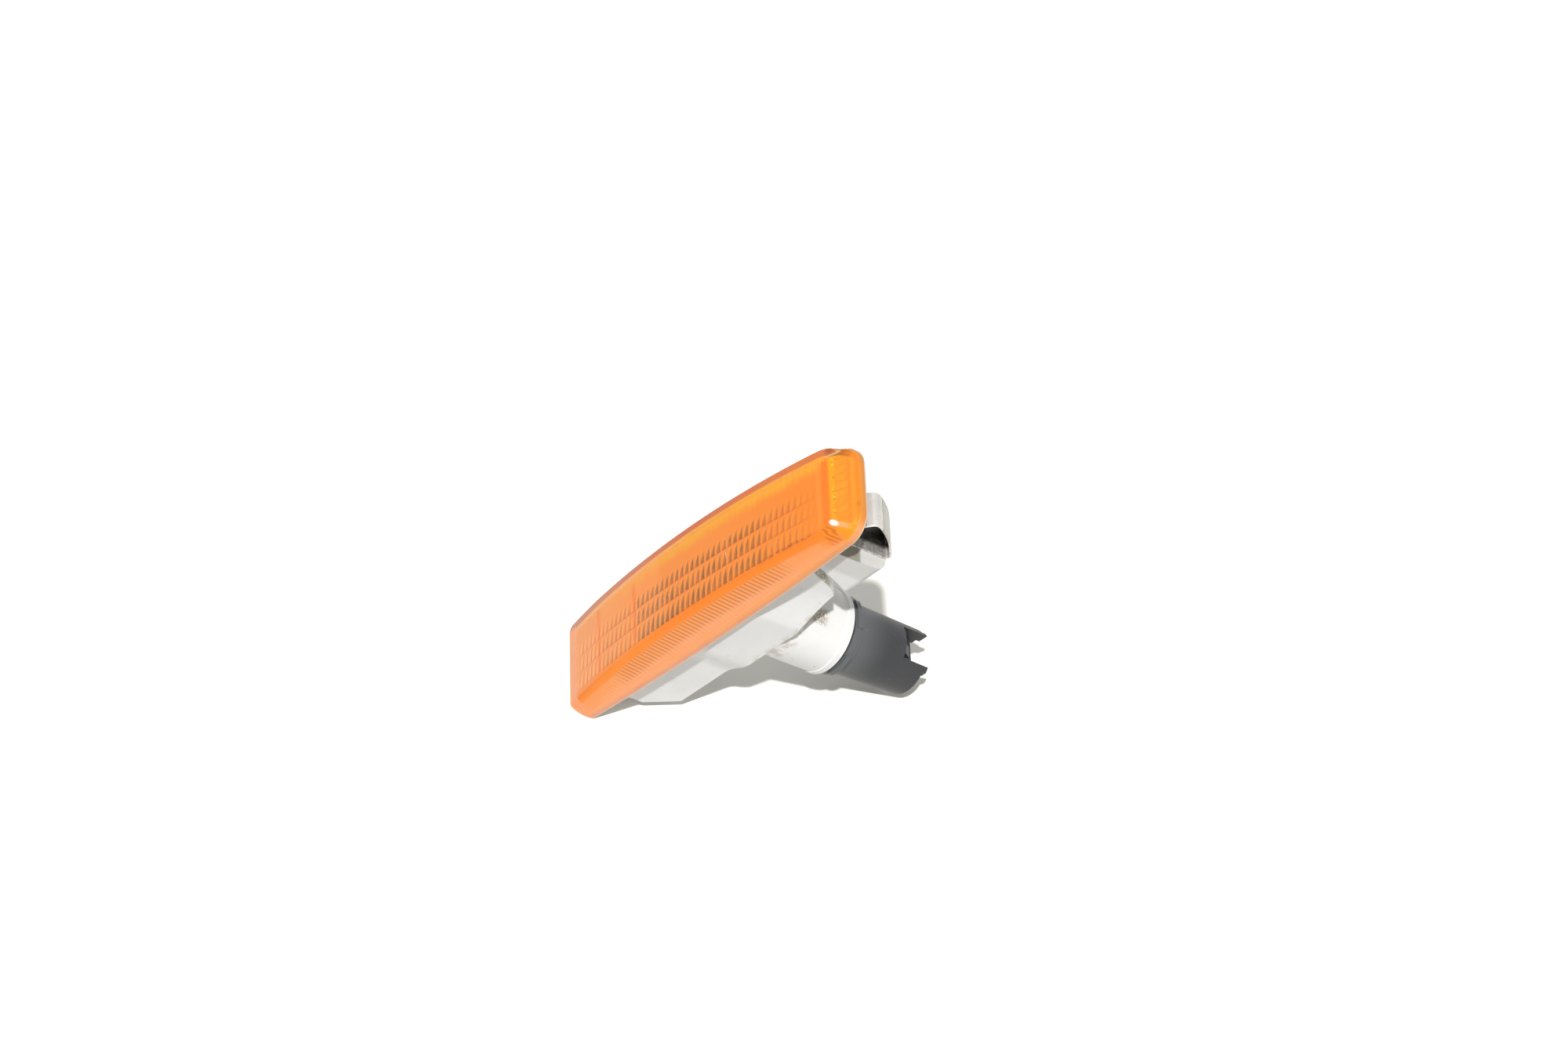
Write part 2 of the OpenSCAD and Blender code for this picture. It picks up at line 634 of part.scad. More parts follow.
// Wedge-base bulb: a glass capsule on a flat pinched base
module bulb() {
    tip = base_y - 0.5 - bulb_len;
    neck = base_y - 0.5 - base_len;
    translate([sleeve_x, 0, housing_z]) color([0.85, 0.9, 0.92]) union() {
        rotate([-90, 0, 0]) rotate_extrude()
            polygon(concat([[0, neck - 0.4], [bulb_r * 0.8, neck - 0.4], [bulb_r * 0.93, neck - 1.8],
                 [bulb_r, neck - 3.5]],
                [for (a = [0:15:90]) [bulb_r * cos(a), tip + bulb_r * (1 - sin(a))]]));
        translate([-base_w / 2, neck - 1.5, -base_t / 2]) cube([base_w, base_len + 1.5, base_t]);
    }
}

term_z = 2.1;
leaf_room = 3;
// Terminal: a sprung leaf on the bulb's base, and a blade in the socket
module terminal(side) {
    touch = base_t / 2 + term_t / 2;
    line = [[nose_y + 0.4, touch + 0.9], [nose_y + 2.4, touch + 0.1], [nose_y + 3.2, touch],
            [nose_y + 4, touch + 0.1], [base_y - 0.4, term_z], [socket_y + blade_len - 1, term_z],
            [socket_y + blade_len, term_z]];
    n = len(line);
    color([0.8, 0.72, 0.45])
        translate([sleeve_x - term_w / 2, 0, housing_z]) rotate([90, 0, 90]) linear_extrude(term_w)
            polygon(concat([for (k = [0:n - 1]) let (p = side_of(line, k, term_t / 2)) [p[0], side * p[1]]],
                           [for (k = [n - 1:-1:0]) let (p = side_of(line, k, -term_t / 2)) [p[0], side * p[1]]]));
}
module upper_terminal() { terminal(1); }
module lower_terminal() { terminal(-1); }

lens();
housing();
spring_clip();
bulb_holder();
holder_seal();
bulb();
upper_terminal();
lower_terminal();
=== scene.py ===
import math

import bpy
import numpy as np
from mathutils import Matrix, Vector


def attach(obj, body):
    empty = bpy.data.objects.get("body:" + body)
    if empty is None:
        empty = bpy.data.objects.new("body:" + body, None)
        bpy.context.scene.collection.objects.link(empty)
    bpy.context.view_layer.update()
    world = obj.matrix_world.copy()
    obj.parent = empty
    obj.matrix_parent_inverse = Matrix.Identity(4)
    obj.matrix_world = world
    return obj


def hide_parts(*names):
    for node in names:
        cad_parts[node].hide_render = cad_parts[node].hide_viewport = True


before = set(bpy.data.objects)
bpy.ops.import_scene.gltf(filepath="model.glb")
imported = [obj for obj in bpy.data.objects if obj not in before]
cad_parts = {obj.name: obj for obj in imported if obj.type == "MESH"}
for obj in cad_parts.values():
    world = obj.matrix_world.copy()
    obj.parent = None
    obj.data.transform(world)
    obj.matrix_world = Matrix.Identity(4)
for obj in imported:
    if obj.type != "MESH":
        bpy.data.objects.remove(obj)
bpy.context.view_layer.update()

MM = 0.001
scene = bpy.context.scene


def srgb(code):
    """A colour written as RRGGBB, as the linear colour that a shader takes."""
    parts = [int(code[i:i + 2], 16) / 255 for i in (0, 2, 4)]
    return tuple(p / 12.92 if p <= 0.04045 else ((p + 0.055) / 1.055) ** 2.4 for p in parts) + (1.0,)


# Camera: it looks at VIEW_TARGET from the photo's side, in millimetres and degrees
VIEW_TARGET = Vector((16.4, 6.5, 11.9))
VIEW_DISTANCE = 963.4
VIEW_AZIMUTH, VIEW_ELEVATION, VIEW_ROLL = 49.67, -32.14, -2.58
FOCAL_LENGTH, SENSOR_WIDTH = 91.2, 36.0


def turn(degrees, axis):
    return Matrix.Rotation(math.radians(degrees), 4, axis)


camera_data = bpy.data.cameras.new("camera")
camera_data.sensor_width = SENSOR_WIDTH
camera_data.lens = FOCAL_LENGTH
camera_data.clip_start = 0.05
camera = bpy.data.objects.new("camera", camera_data)
scene.collection.objects.link(camera)
camera.matrix_world = (Matrix.Translation(VIEW_TARGET * MM) @ turn(VIEW_AZIMUTH, "Z")
                       @ turn(90 - VIEW_ELEVATION, "X") @ turn(VIEW_ROLL, "Z")
                       @ Matrix.Translation((0, 0, VIEW_DISTANCE * MM)))
scene.camera = camera
scene.view_settings.view_transform = "Standard"


# Shader expressions
class Ex:
    """A shader value that can be used in a formula: every operator adds a Math node."""

    def __init__(self, tree, socket):
        self.tree, self.socket = tree, socket

    def op(self, name, *others):
        node = self.tree.nodes.new("ShaderNodeMath")
        node.operation = name
        for slot, value in zip(node.inputs, (self, *others)):
            if isinstance(value, Ex):
                self.tree.links.new(value.socket, slot)
            else:
                slot.default_value = value
        return Ex(self.tree, node.outputs[0])

    def __add__(self, other): return self.op("ADD", other)
    def __sub__(self, other): return self.op("SUBTRACT", other)
    def __mul__(self, other): return self.op("MULTIPLY", other)
    def __truediv__(self, other): return self.op("DIVIDE", other)
    def __pow__(self, other): return self.op("POWER", other)
    def __radd__(self, other): return self.op("ADD", other)
    def __rmul__(self, other): return self.op("MULTIPLY", other)
    def __rsub__(self, other): return self.op("MULTIPLY", -1.0).op("ADD", other)
    def fract(self): return self.op("FRACT")
    def abs(self): return self.op("ABSOLUTE")
    def max(self, other): return self.op("MAXIMUM", other)
    def min(self, other): return self.op("MINIMUM", other)

    def rise(self, low, high):
        """0 below low, 1 above high, smooth between. It falls instead if low is above high."""
        node = self.tree.nodes.new("ShaderNodeMapRange")
        node.interpolation_type = "SMOOTHSTEP"
        self.tree.links.new(self.socket, node.inputs["Value"])
        for name, value in (("From Min", low), ("From Max", high)):
            if isinstance(value, Ex):
                self.tree.links.new(value.socket, node.inputs[name])
            else:
                node.inputs[name].default_value = value
        return Ex(self.tree, node.outputs[0])

    def band(self, middle, half, soft):
        """1 within half of middle, 0 further out than half + soft."""
        return (self - middle).abs().rise(half + soft, half)


def direct_ray(tree):
    """1 for what the camera sees straight on, in a reflection or through glass."""
    path = tree.nodes.new("ShaderNodeLightPath")
    seen, mirrored, through = (Ex(tree, path.outputs[name])
                               for name in ("Is Camera Ray", "Is Glossy Ray", "Is Transmission Ray"))
    return seen.max(mirrored).max(through)


class Mat:
    """A node material that is built up from formulas."""

    def __init__(self, name):
        self.material = bpy.data.materials.new(name)
        self.material.use_nodes = True
        self.tree = self.material.node_tree
        self.tree.nodes.clear()
        self.output = self.tree.nodes.new("ShaderNodeOutputMaterial")
        coords = self.tree.nodes.new("ShaderNodeTexCoord")
        self.coords = coords.outputs["Object"]
        split = self.tree.nodes.new("ShaderNodeSeparateXYZ")
        self.tree.links.new(self.coords, split.inputs[0])
        self.x, self.y, self.z = (Ex(self.tree, s) * 1000.0 for s in split.outputs)
        self.geometry = self.tree.nodes.new("ShaderNodeNewGeometry")

    def link(self, source, target):
        self.tree.links.new(source.socket if isinstance(source, Ex) else source, target)

    def noise(self, scale, detail=3.0, rough=0.5, stretch=(1, 1, 1), offset=(0, 0, 0), warp=0.0):
        """Noise with cells of about 1/scale millimetres."""
        mapping = self.tree.nodes.new("ShaderNodeMapping")
        self.tree.links.new(self.coords, mapping.inputs["Vector"])
        mapping.inputs["Scale"].default_value = tuple(1000.0 * s for s in stretch)
        mapping.inputs["Location"].default_value = offset
        node = self.tree.nodes.new("ShaderNodeTexNoise")
        self.tree.links.new(mapping.outputs[0], node.inputs["Vector"])
        node.inputs["Scale"].default_value = scale
        node.inputs["Detail"].default_value = detail
        node.inputs["Roughness"].default_value = rough
        node.inputs["Distortion"].default_value = warp
        return Ex(self.tree, node.outputs["Fac"])

    def attribute(self, name):
        node = self.tree.nodes.new("ShaderNodeAttribute")
        node.attribute_name = name
        return Ex(self.tree, node.outputs["Fac"])

    def mix(self, share, first, second):
        """A colour between two others, each of them a colour or the output of another mix."""
        node = self.tree.nodes.new("ShaderNodeMix")
        node.data_type = "RGBA"
        node.clamp_factor = True
        if isinstance(share, Ex):
            self.tree.links.new(share.socket, node.inputs["Factor"])
        else:
            node.inputs["Factor"].default_value = share
        for index, value in ((6, first), (7, second)):
            if isinstance(value, (tuple, list)):
                node.inputs[index].default_value = value
            else:
                self.tree.links.new(value, node.inputs[index])
        return node.outputs[2]

    def multiply(self, colour, tint):
        node = self.tree.nodes.new("ShaderNodeMix")
        node.data_type = "RGBA"
        node.blend_type = "MULTIPLY"
        node.inputs["Factor"].default_value = 1.0
        self.tree.links.new(colour, node.inputs[6])
        node.inputs[7].default_value = tint
        return node.outputs[2]

    def bump(self, height, distance, strength=1.0):
        node = self.tree.nodes.new("ShaderNodeBump")
        node.inputs["Strength"].default_value = strength
        node.inputs["Distance"].default_value = distance * MM
        self.link(height, node.inputs["Height"])
        return node.outputs[0]

    def principled(self, colour, roughness, **sockets):
        node = self.tree.nodes.new("ShaderNodeBsdfPrincipled")
        if isinstance(colour, (tuple, list)):
            node.inputs["Base Color"].default_value = colour
        else:
            self.tree.links.new(colour, node.inputs["Base Color"])
        if isinstance(roughness, Ex):
            self.link(roughness, node.inputs["Roughness"])
        else:
            node.inputs["Roughness"].default_value = roughness
        for name, value in sockets.items():
            slot = node.inputs[name.replace("_", " ")]
            if isinstance(value, (Ex, bpy.types.NodeSocket)):
                self.link(value, slot)
            else:
                slot.default_value = value
        return node

    def finish(self, shader):
        self.tree.links.new(shader.outputs[0], self.output.inputs["Surface"])
        return self.material


# Light, world and floor
AMBIENT = 0.38
SUN = 0.88
SUN_ANGLE = 2
PALE_PAPER = (1.2, 1.18, 1.1, 1)
world = bpy.data.worlds.new("world")
scene.world = world
world.use_nodes = True
wt = world.node_tree
wt.nodes.clear()
w_out = wt.nodes.new("ShaderNodeOutputWorld")
dim = wt.nodes.new("ShaderNodeBackground")
dim.inputs["Color"].default_value = (1.0, 0.995, 0.985, 1)
dim.inputs["Strength"].default_value = AMBIENT
bright = wt.nodes.new("ShaderNodeBackground")
bright.inputs["Color"].default_value = (1.0, 1.0, 1.0, 1)
bright.inputs["Strength"].default_value = 1.0
w_mix = wt.nodes.new("ShaderNodeMixShader")
wt.links.new(direct_ray(wt).socket, w_mix.inputs[0])
wt.links.new(dim.outputs[0], w_mix.inputs[1])
wt.links.new(bright.outputs[0], w_mix.inputs[2])
wt.links.new(w_mix.outputs[0], w_out.inputs["Surface"])

TO_LIGHT = Vector((0.719, -0.6116, -0.33)).normalized()
sun_data = bpy.data.lights.new("key", "SUN")
sun_data.energy = SUN * math.pi
sun_data.angle = math.radians(SUN_ANGLE)
sun = bpy.data.objects.new("key", sun_data)
sun.rotation_mode = "QUATERNION"
sun.rotation_quaternion = TO_LIGHT.to_track_quat("Z", "Y")
scene.collection.objects.link(sun)

FLOOR_NORMAL = Vector((0.7531, -0.5869, 0.2973)).normalized()
FLOOR_LEVEL = -44.22 * MM
FLOOR_HALF = 0.6


def make_floor():
    across = FLOOR_NORMAL.orthogonal().normalized()
    along = FLOOR_NORMAL.cross(across).normalized()
    middle = FLOOR_NORMAL * FLOOR_LEVEL
    corners = [middle + across * (FLOOR_HALF * a) + along * (FLOOR_HALF * b)
               for a, b in ((-1, -1), (1, -1), (1, 1), (-1, 1))]
    mesh = bpy.data.meshes.new("floor")
    mesh.from_pydata([tuple(c) for c in corners], [], [(0, 1, 2, 3)])
    if mesh.polygons[0].normal.dot(FLOOR_NORMAL) < 0:
        mesh.flip_normals()
    floor = bpy.data.objects.new("floor", mesh)
    scene.collection.objects.link(floor)
    m = Mat("floor_paper")
    t = m.tree
    diffuse = t.nodes.new("ShaderNodeBsdfDiffuse")
    grain = m.noise(0.02, 2.0)
    m.link(m.mix(grain, srgb("C0C0BD"), srgb("C6C6C4")), diffuse.inputs["Color"])
    glow = t.nodes.new("ShaderNodeEmission")
    glow.inputs["Strength"].default_value = 0.02
    both = t.nodes.new("ShaderNodeAddShader")
    pale = t.nodes.new("ShaderNodeBsdfDiffuse")
    pale.inputs["Color"].default_value = PALE_PAPER
    t.links.new(pale.outputs[0], both.inputs[0])
    t.links.new(glow.outputs[0], both.inputs[1])
    paper = t.nodes.new("ShaderNodeMixShader")
    m.link(direct_ray(t), paper.inputs[0])
    t.links.new(diffuse.outputs[0], paper.inputs[1])
    t.links.new(both.outputs[0], paper.inputs[2])
    clear = t.nodes.new("ShaderNodeBsdfTransparent")
    shown = t.nodes.new("ShaderNodeMixShader")
    t.links.new(m.geometry.outputs["Backfacing"], shown.inputs[0])
    t.links.new(paper.outputs[0], shown.inputs[1])
    t.links.new(clear.outputs[0], shown.inputs[2])
    mesh.materials.append(m.finish(shown))


make_floor()

# Lens shape
HALF_LEN, HALF_H, BOW = 54.5, 12.5, 1.5
LENS_LEN, LENS_H = 2 * HALF_LEN, 2 * (HALF_H + BOW)
R_LEFT, R_LOW, R_TOP = 2.2, 6.0, 6.0
RIM = 1.8
WALL = 2.0
LIP, REBATE = 0.94, 1.26
CREASE_X, LEFT_DROP, LEFT_FACET = -40.1, 0.35, 14.4
LOW_SLOPE, RIGHT_SLOPE, TOP_SLOPE, LEFT_SLOPE = 1.95, 0.56, 16.0, 15.0
SOFT = 14.0
# The face's crown is highest at CROWN_X, and the inner ridge is lowest away from it
CROWN_X, CROWN_HEIGHT, CROWN_R = -4.5, 10, 350
RIDGE_GAP, RIDGE_FALL = 5.395, 1365
STRIPE_X = -24.0
AMBER_TINT = (0.98, 0.83, 0.24, 1.0)

PITCH, TOOTH_X = 2.0, 0.35
ROWS = (-7.95, -3.05, 1.5, 5.3)
ROW_TILT = 0.01
TOOTH_DEPTH = 0.3
RIB_PITCH, RIB_DEPTH, RIB_LEAN = 1.31, 0.2, 1.0
END_RIB_PITCH = 2.2


def corner_cut(e, r):
    e = np.clip(e, 0, r)
    return r - np.sqrt(np.maximum(0, r * r - (r - e) ** 2))


def bow(x):
    return BOW * (1 - (x / HALF_LEN) ** 2)


def low_edge(x, inset=0.0):
    r1, r2 = max(R_LEFT - inset, 0.3), max(R_LOW - inset, 0.3)
    return (-HALF_H + inset - bow(x) + corner_cut(x + HALF_LEN - inset, r1)
            + corner_cut(HALF_LEN - inset - x, r2))


def top_edge(x, inset=0.0):
    r1, r2 = max(R_LEFT - inset, 0.3), max(R_TOP - inset, 0.3)
    return (HALF_H - inset + bow(x) - corner_cut(x + HALF_LEN - inset, r1)
            - corner_cut(HALF_LEN - inset - x, r2))


def crown(x):
    return CROWN_HEIGHT - (x - CROWN_X) ** 2 / (2 * CROWN_R) - LEFT_DROP * np.maximum(0, CREASE_X - x) / LEFT_FACET


def outline_gap(x, z, inset):
    """Distance from each point to the outline, moved in by inset."""
    length, end = LENS_LEN - 2 * inset, 7
    s = np.concatenate([np.linspace(0, end, 60), np.linspace(end, length - end, 60),
                        length - np.linspace(end, 0, 60)])
    ex = -HALF_LEN + inset + s
    px = np.concatenate([ex, ex[::-1], [ex[0]]])
    pz = np.concatenate([low_edge(ex, inset), top_edge(ex[::-1], inset), [low_edge(ex[:1], inset)[0]]])
    a = np.stack([px[:-1], pz[:-1]], 1)
    b = np.stack([px[1:], pz[1:]], 1)
    p = np.stack([x.ravel(), z.ravel()], 1)
    best = np.full(len(p), 1e9)
    for k in range(len(a)):
        d = b[k] - a[k]
        t = np.clip(((p - a[k]) @ d) / max(d @ d, 1e-12), 0, 1)
        best = np.minimum(best, ((p - a[k] - t[:, None] * d) ** 2).sum(1))
    return np.sqrt(best).reshape(x.shape)


def soft_min(terms):
    total = sum(np.maximum(t, 1e-6) ** -SOFT for t in terms)
    return total ** (-1 / SOFT)


def step(v, low, high):
    t = np.clip((v - low) / (high - low), 0, 1)
    return t * t * (3 - 2 * t)


def corner_slope(x, z):
    """Slope of the side wall: steep, and gentle round the right end's corners."""
    low = step(-z, -4, 5) * step(x, 38, 46)
    top = step(x, 45.5, 50)
    return 15.0 + (2.2 - 15.0) * np.maximum(low, top)


def outer_depth(x, z):
    gap = outline_gap(x, z, 0.0)
    corner = corner_slope(x, z)
    return RIM + soft_min([
        LOW_SLOPE * (z + HALF_H + bow(x)), RIGHT_SLOPE * (HALF_LEN - x),
        TOP_SLOPE * (HALF_H + bow(x) - z), LEFT_SLOPE * (x + HALF_LEN),
        corner * gap, crown(x) - RIM])


def ridge_gap(x):
    """Height of the inner ridge over the lower edge, for numbers and for shader values."""
    return RIDGE_GAP - (x - CROWN_X) ** 2 / RIDGE_FALL


def tooth(x, z):
    """How far the teeth stand in, from 0 to 1: sails with an upright right side, in three rows."""
    f = np.mod((x - TOOTH_X) / PITCH, 1)
    level = z + ROW_TILT * x
    row = sum(np.clip((level - a) / (b - a), 0, 1) for a, b in zip(ROWS, ROWS[1:]))
    v = np.mod(row, 1)
    edge = 0.15 + 0.7 * (v / 0.88) ** 2.0
    sail = step(f, edge - 0.05, edge + 0.2) * (1 - step(f, 0.82, 0.94)) * (1 - step(v, 0.84, 0.92))
    inside = step(level, ROWS[0], ROWS[0] + 0.12) * (1 - step(level, ROWS[3] - 0.3, ROWS[3]))
    inside = inside * step(z + HALF_H + bow(x) - ridge_gap(x), 0.4, 0.7)
    along = step(x, -51, -49) * (1 - step(x, 30, 46))
    return sail * inside * along


def inner_depth(x, z):
    gap = outline_gap(x, z, WALL)
    corner = corner_slope(x, z)
    low = LOW_SLOPE * (z + HALF_H + bow(x) - WALL) + 0.12
    right = 0.47 * (HALF_LEN - WALL - x)
    face = crown(x) - WALL - REBATE
    smooth = soft_min([low, right, TOP_SLOPE * (HALF_H + bow(x) - WALL - z),
                       LEFT_SLOPE * (x + HALF_LEN - WALL), corner * gap, face])
    on_face = np.clip(smooth / face, 0, 1) ** 24
    on_low = step(face - low, 0.8, 2.0) * step(low, 0.6, 1.6)
    ribs = 0.5 + 0.5 * np.cos(2 * math.pi * (x + RIB_LEAN * (z + bow(x))) / RIB_PITCH)
    end_ribs = 0.5 + 0.5 * np.cos(2 * math.pi * z / END_RIB_PITCH)
    on_right = step(face - right, 0.4, 1.2) * step(gap, 0.8, 2.0)
    depth = (smooth - TOOTH_DEPTH * tooth(x, z) * on_face
             - RIB_DEPTH * ribs * on_low * (1 - on_right) * (1 - step(x, 26, 33))
             - 0.2 * end_ribs * on_right)
    return REBATE + np.where(gap < 1e-6, 0, depth)


LEFT_STEPS = [0, .04, .08, .13, .18, .23, .28, .33, .38, .43,
              .48, .54, .6, .7, .85, 1.05, 1.3, 1.6, 1.9, 2.2]
RIGHT_STEPS = [6 * (1 - math.cos(math.radians(a))) for a in range(90, -1, -6)]
MIDDLE = 396


def stations():
    """Places along the lens: for the outer skin, and as many for the inner one, in step with its teeth."""
    outer = np.concatenate([-HALF_LEN + np.array(LEFT_STEPS), np.linspace(-52.3, 48.5, MIDDLE + 2)[1:-1],
                            HALF_LEN - np.array(RIGHT_STEPS)])
    half = HALF_LEN - WALL
    left = -half + 1.5 * (np.array(LEFT_STEPS) / 2.2)
    first = -50.9
    inner = np.concatenate([left, first + 0.25 * np.arange(1, MIDDLE + 1),
                            half - (half - (first + 0.25 * (MIDDLE + 1))) * np.array(RIGHT_STEPS) / 6.0])
    return outer, inner


def outer_lines():
    """Shares of the lens's height at which its lines run: close together at both edges and at the ridge."""
    low = [0, .12, .3, .55, .85, 1.2, 1.6, 2.0, 2.4, 2.8, 3.15,
           3.45, 3.7, 3.9, 4.1, 4.3, 4.5, 4.75, 5.05, 5.4, 5.8, 6.3]
    top = [0, .04, .08, .12, .16, .2, .24, .28, .32, .36, .4, .44,
           .48, .52, .57, .63, .72, .85, 1.05, 1.35, 1.8, 2.4, 3.1]
    middle = np.linspace(low[-1], LENS_H - top[-1], 45)[1:-1]
    return np.concatenate([low, middle, LENS_H - np.array(top[::-1])]) / LENS_H


LINES = outer_lines()
COUNT_Z = len(LINES)


def inner_z(x):
    """The inner skin's lines at x: they follow the rows of teeth along the middle, and the outline at the ends."""
    low, top = low_edge(x, WALL), top_edge(x, WALL)
    rows = [z - ROW_TILT * x for z in ROWS]
    ridge = min(-HALF_H - bow(x) + 4.2 + 0.9, rows[0] - 0.4)
    plain = low + (top - low) * LINES
    knots = [low, ridge, rows[0] - 0.02, rows[0] + 0.12, rows[1] - 0.02, rows[1] + 0.12, rows[2] - 0.02,
             rows[2] + 0.12, rows[3], top - 2.6, top]
    counts = [13, 5, 1, 13, 1, 13, 1, 9, 8, 0]
    counts[-1] = COUNT_Z - 1 - sum(counts)
    made = [low]
    for k, n in enumerate(counts):
        a, b = knots[k], knots[k + 1]
        s = np.arange(1, n + 1) / n
        if k == len(counts) - 1:
            s = 1 - (1 - s) ** 2.2
        made.extend(a + (b - a) * s)
    made = np.array(made)
    share = step(abs(x), 42.5, 48.0)
    return made * (1 - share) + plain * share


def make_lens():
    xo, xi = stations()
    n, m = len(xo), COUNT_Z
    ox = np.repeat(xo[:, None], m, 1)
    lo, to = low_edge(xo), top_edge(xo)
    oz = lo[:, None] + (to - lo)[:, None] * LINES[None, :]
    oy = -outer_depth(ox, oz)
    ix = np.repeat(xi[:, None], m, 1)
    iz = np.stack([inner_z(x) for x in xi])
    iy = -inner_depth(ix, iz)
    # The grids' borders keep the rim's straight sides
    edge = np.zeros((n, m), bool)
    edge[0], edge[-1], edge[:, 0], edge[:, -1] = True, True, True, True
    oy[edge] = -RIM
    iy[edge] = -REBATE
    points = [np.stack([ox, oy, oz], -1).reshape(-1, 3), np.stack([ix, iy, iz], -1).reshape(-1, 3)]
    ring = ([i * m for i in range(n)] + [(n - 1) * m + j for j in range(1, m)]
            + [i * m + m - 1 for i in range(n - 2, -1, -1)] + [j for j in range(m - 2, 0, -1)])
    count = len(ring)
    outer_ring = points[0][ring]
    inner_ring = points[1][ring]

    def inset_ring(amount, y):
        """The outer ring moved in, with as many points."""
        x = np.clip(outer_ring[:, 0], -HALF_LEN, HALF_LEN) * (HALF_LEN - amount) / HALF_LEN
        made = np.zeros_like(outer_ring)
        made[:, 0], made[:, 1] = x, y
        low, top = low_edge(x, amount), top_edge(x, amount)
        olow, otop = low_edge(outer_ring[:, 0]), top_edge(outer_ring[:, 0])
        share = (outer_ring[:, 2] - olow) / (otop - olow)
        made[:, 2] = low + (top - low) * share
        return made

    soft = 0.22
    rim = [outer_ring * [1, 0, 1] + [0, -RIM * 0.5, 0], inset_ring(0.0, -soft), inset_ring(0.06, -0.06),
           inset_ring(soft, 0.0), inset_ring(LIP - 0.1, 0.0), inset_ring(LIP, -0.1), inset_ring(LIP, -REBATE)]
    base = 2 * n * m
    loops = [np.array(ring)]
    for k, r in enumerate(rim):
        loops.append(base + k * count + np.arange(count))
        points.append(r)
    loops.append(n * m + np.array(ring))
    vertices = np.concatenate(points) * MM
    faces = []
    a = (np.arange(n - 1)[:, None] * m + np.arange(m - 1)[None, :]).ravel()
    faces.append(np.stack([a, a + m, a + m + 1, a + 1], 1))
    b = a + n * m
    faces.append(np.stack([b, b + 1, b + m + 1, b + m], 1))
    for first, second in zip(loops[:-1], loops[1:]):
        f1, s1 = np.roll(first, -1), np.roll(second, -1)
        faces.append(np.stack([first, second, s1, f1], 1))
    kinds = np.concatenate([np.full(len(f), k) for k, f in enumerate(faces)])
    faces = np.concatenate(faces)
    mesh = bpy.data.meshes.new("lens_shell")
    mesh.from_pydata(vertices.tolist(), [], faces.tolist())
    # Slot 1, the optics' material, is on the inner skin and on the rim from its back edge inwards
    slots = (kinds == 1) | (kinds >= 6)
    mesh.polygons.foreach_set("material_index", slots.astype(np.int32))
    mesh.polygons.foreach_set("use_smooth", np.ones(len(faces), bool))
    # How solid the skin is: 1 on the rim and the upper wall, nearly 0 on the face
    gap_top = HALF_H + bow(ox) - oz
    cover = (1 - step(gap_top, 3.3, 4.0)) * (1 - step(ox, 46.0, 48.0))
    cover = np.maximum(cover, 1 - step(ox + HALF_LEN, 3.6, 4.4))
    cover = np.maximum(cover, 1 - step(outline_gap(ox, oz, 0.0), 0.05, 0.35))
    values = np.ones(len(vertices), np.float32)
    values[:n * m] = cover.ravel()
    mesh.attributes.new("cover", "FLOAT", "POINT").data.foreach_set("value", values)
    mesh.validate()
    mesh.update()
    lens = bpy.data.objects.new("lens_shell", mesh)
    scene.collection.objects.link(lens)
    return lens


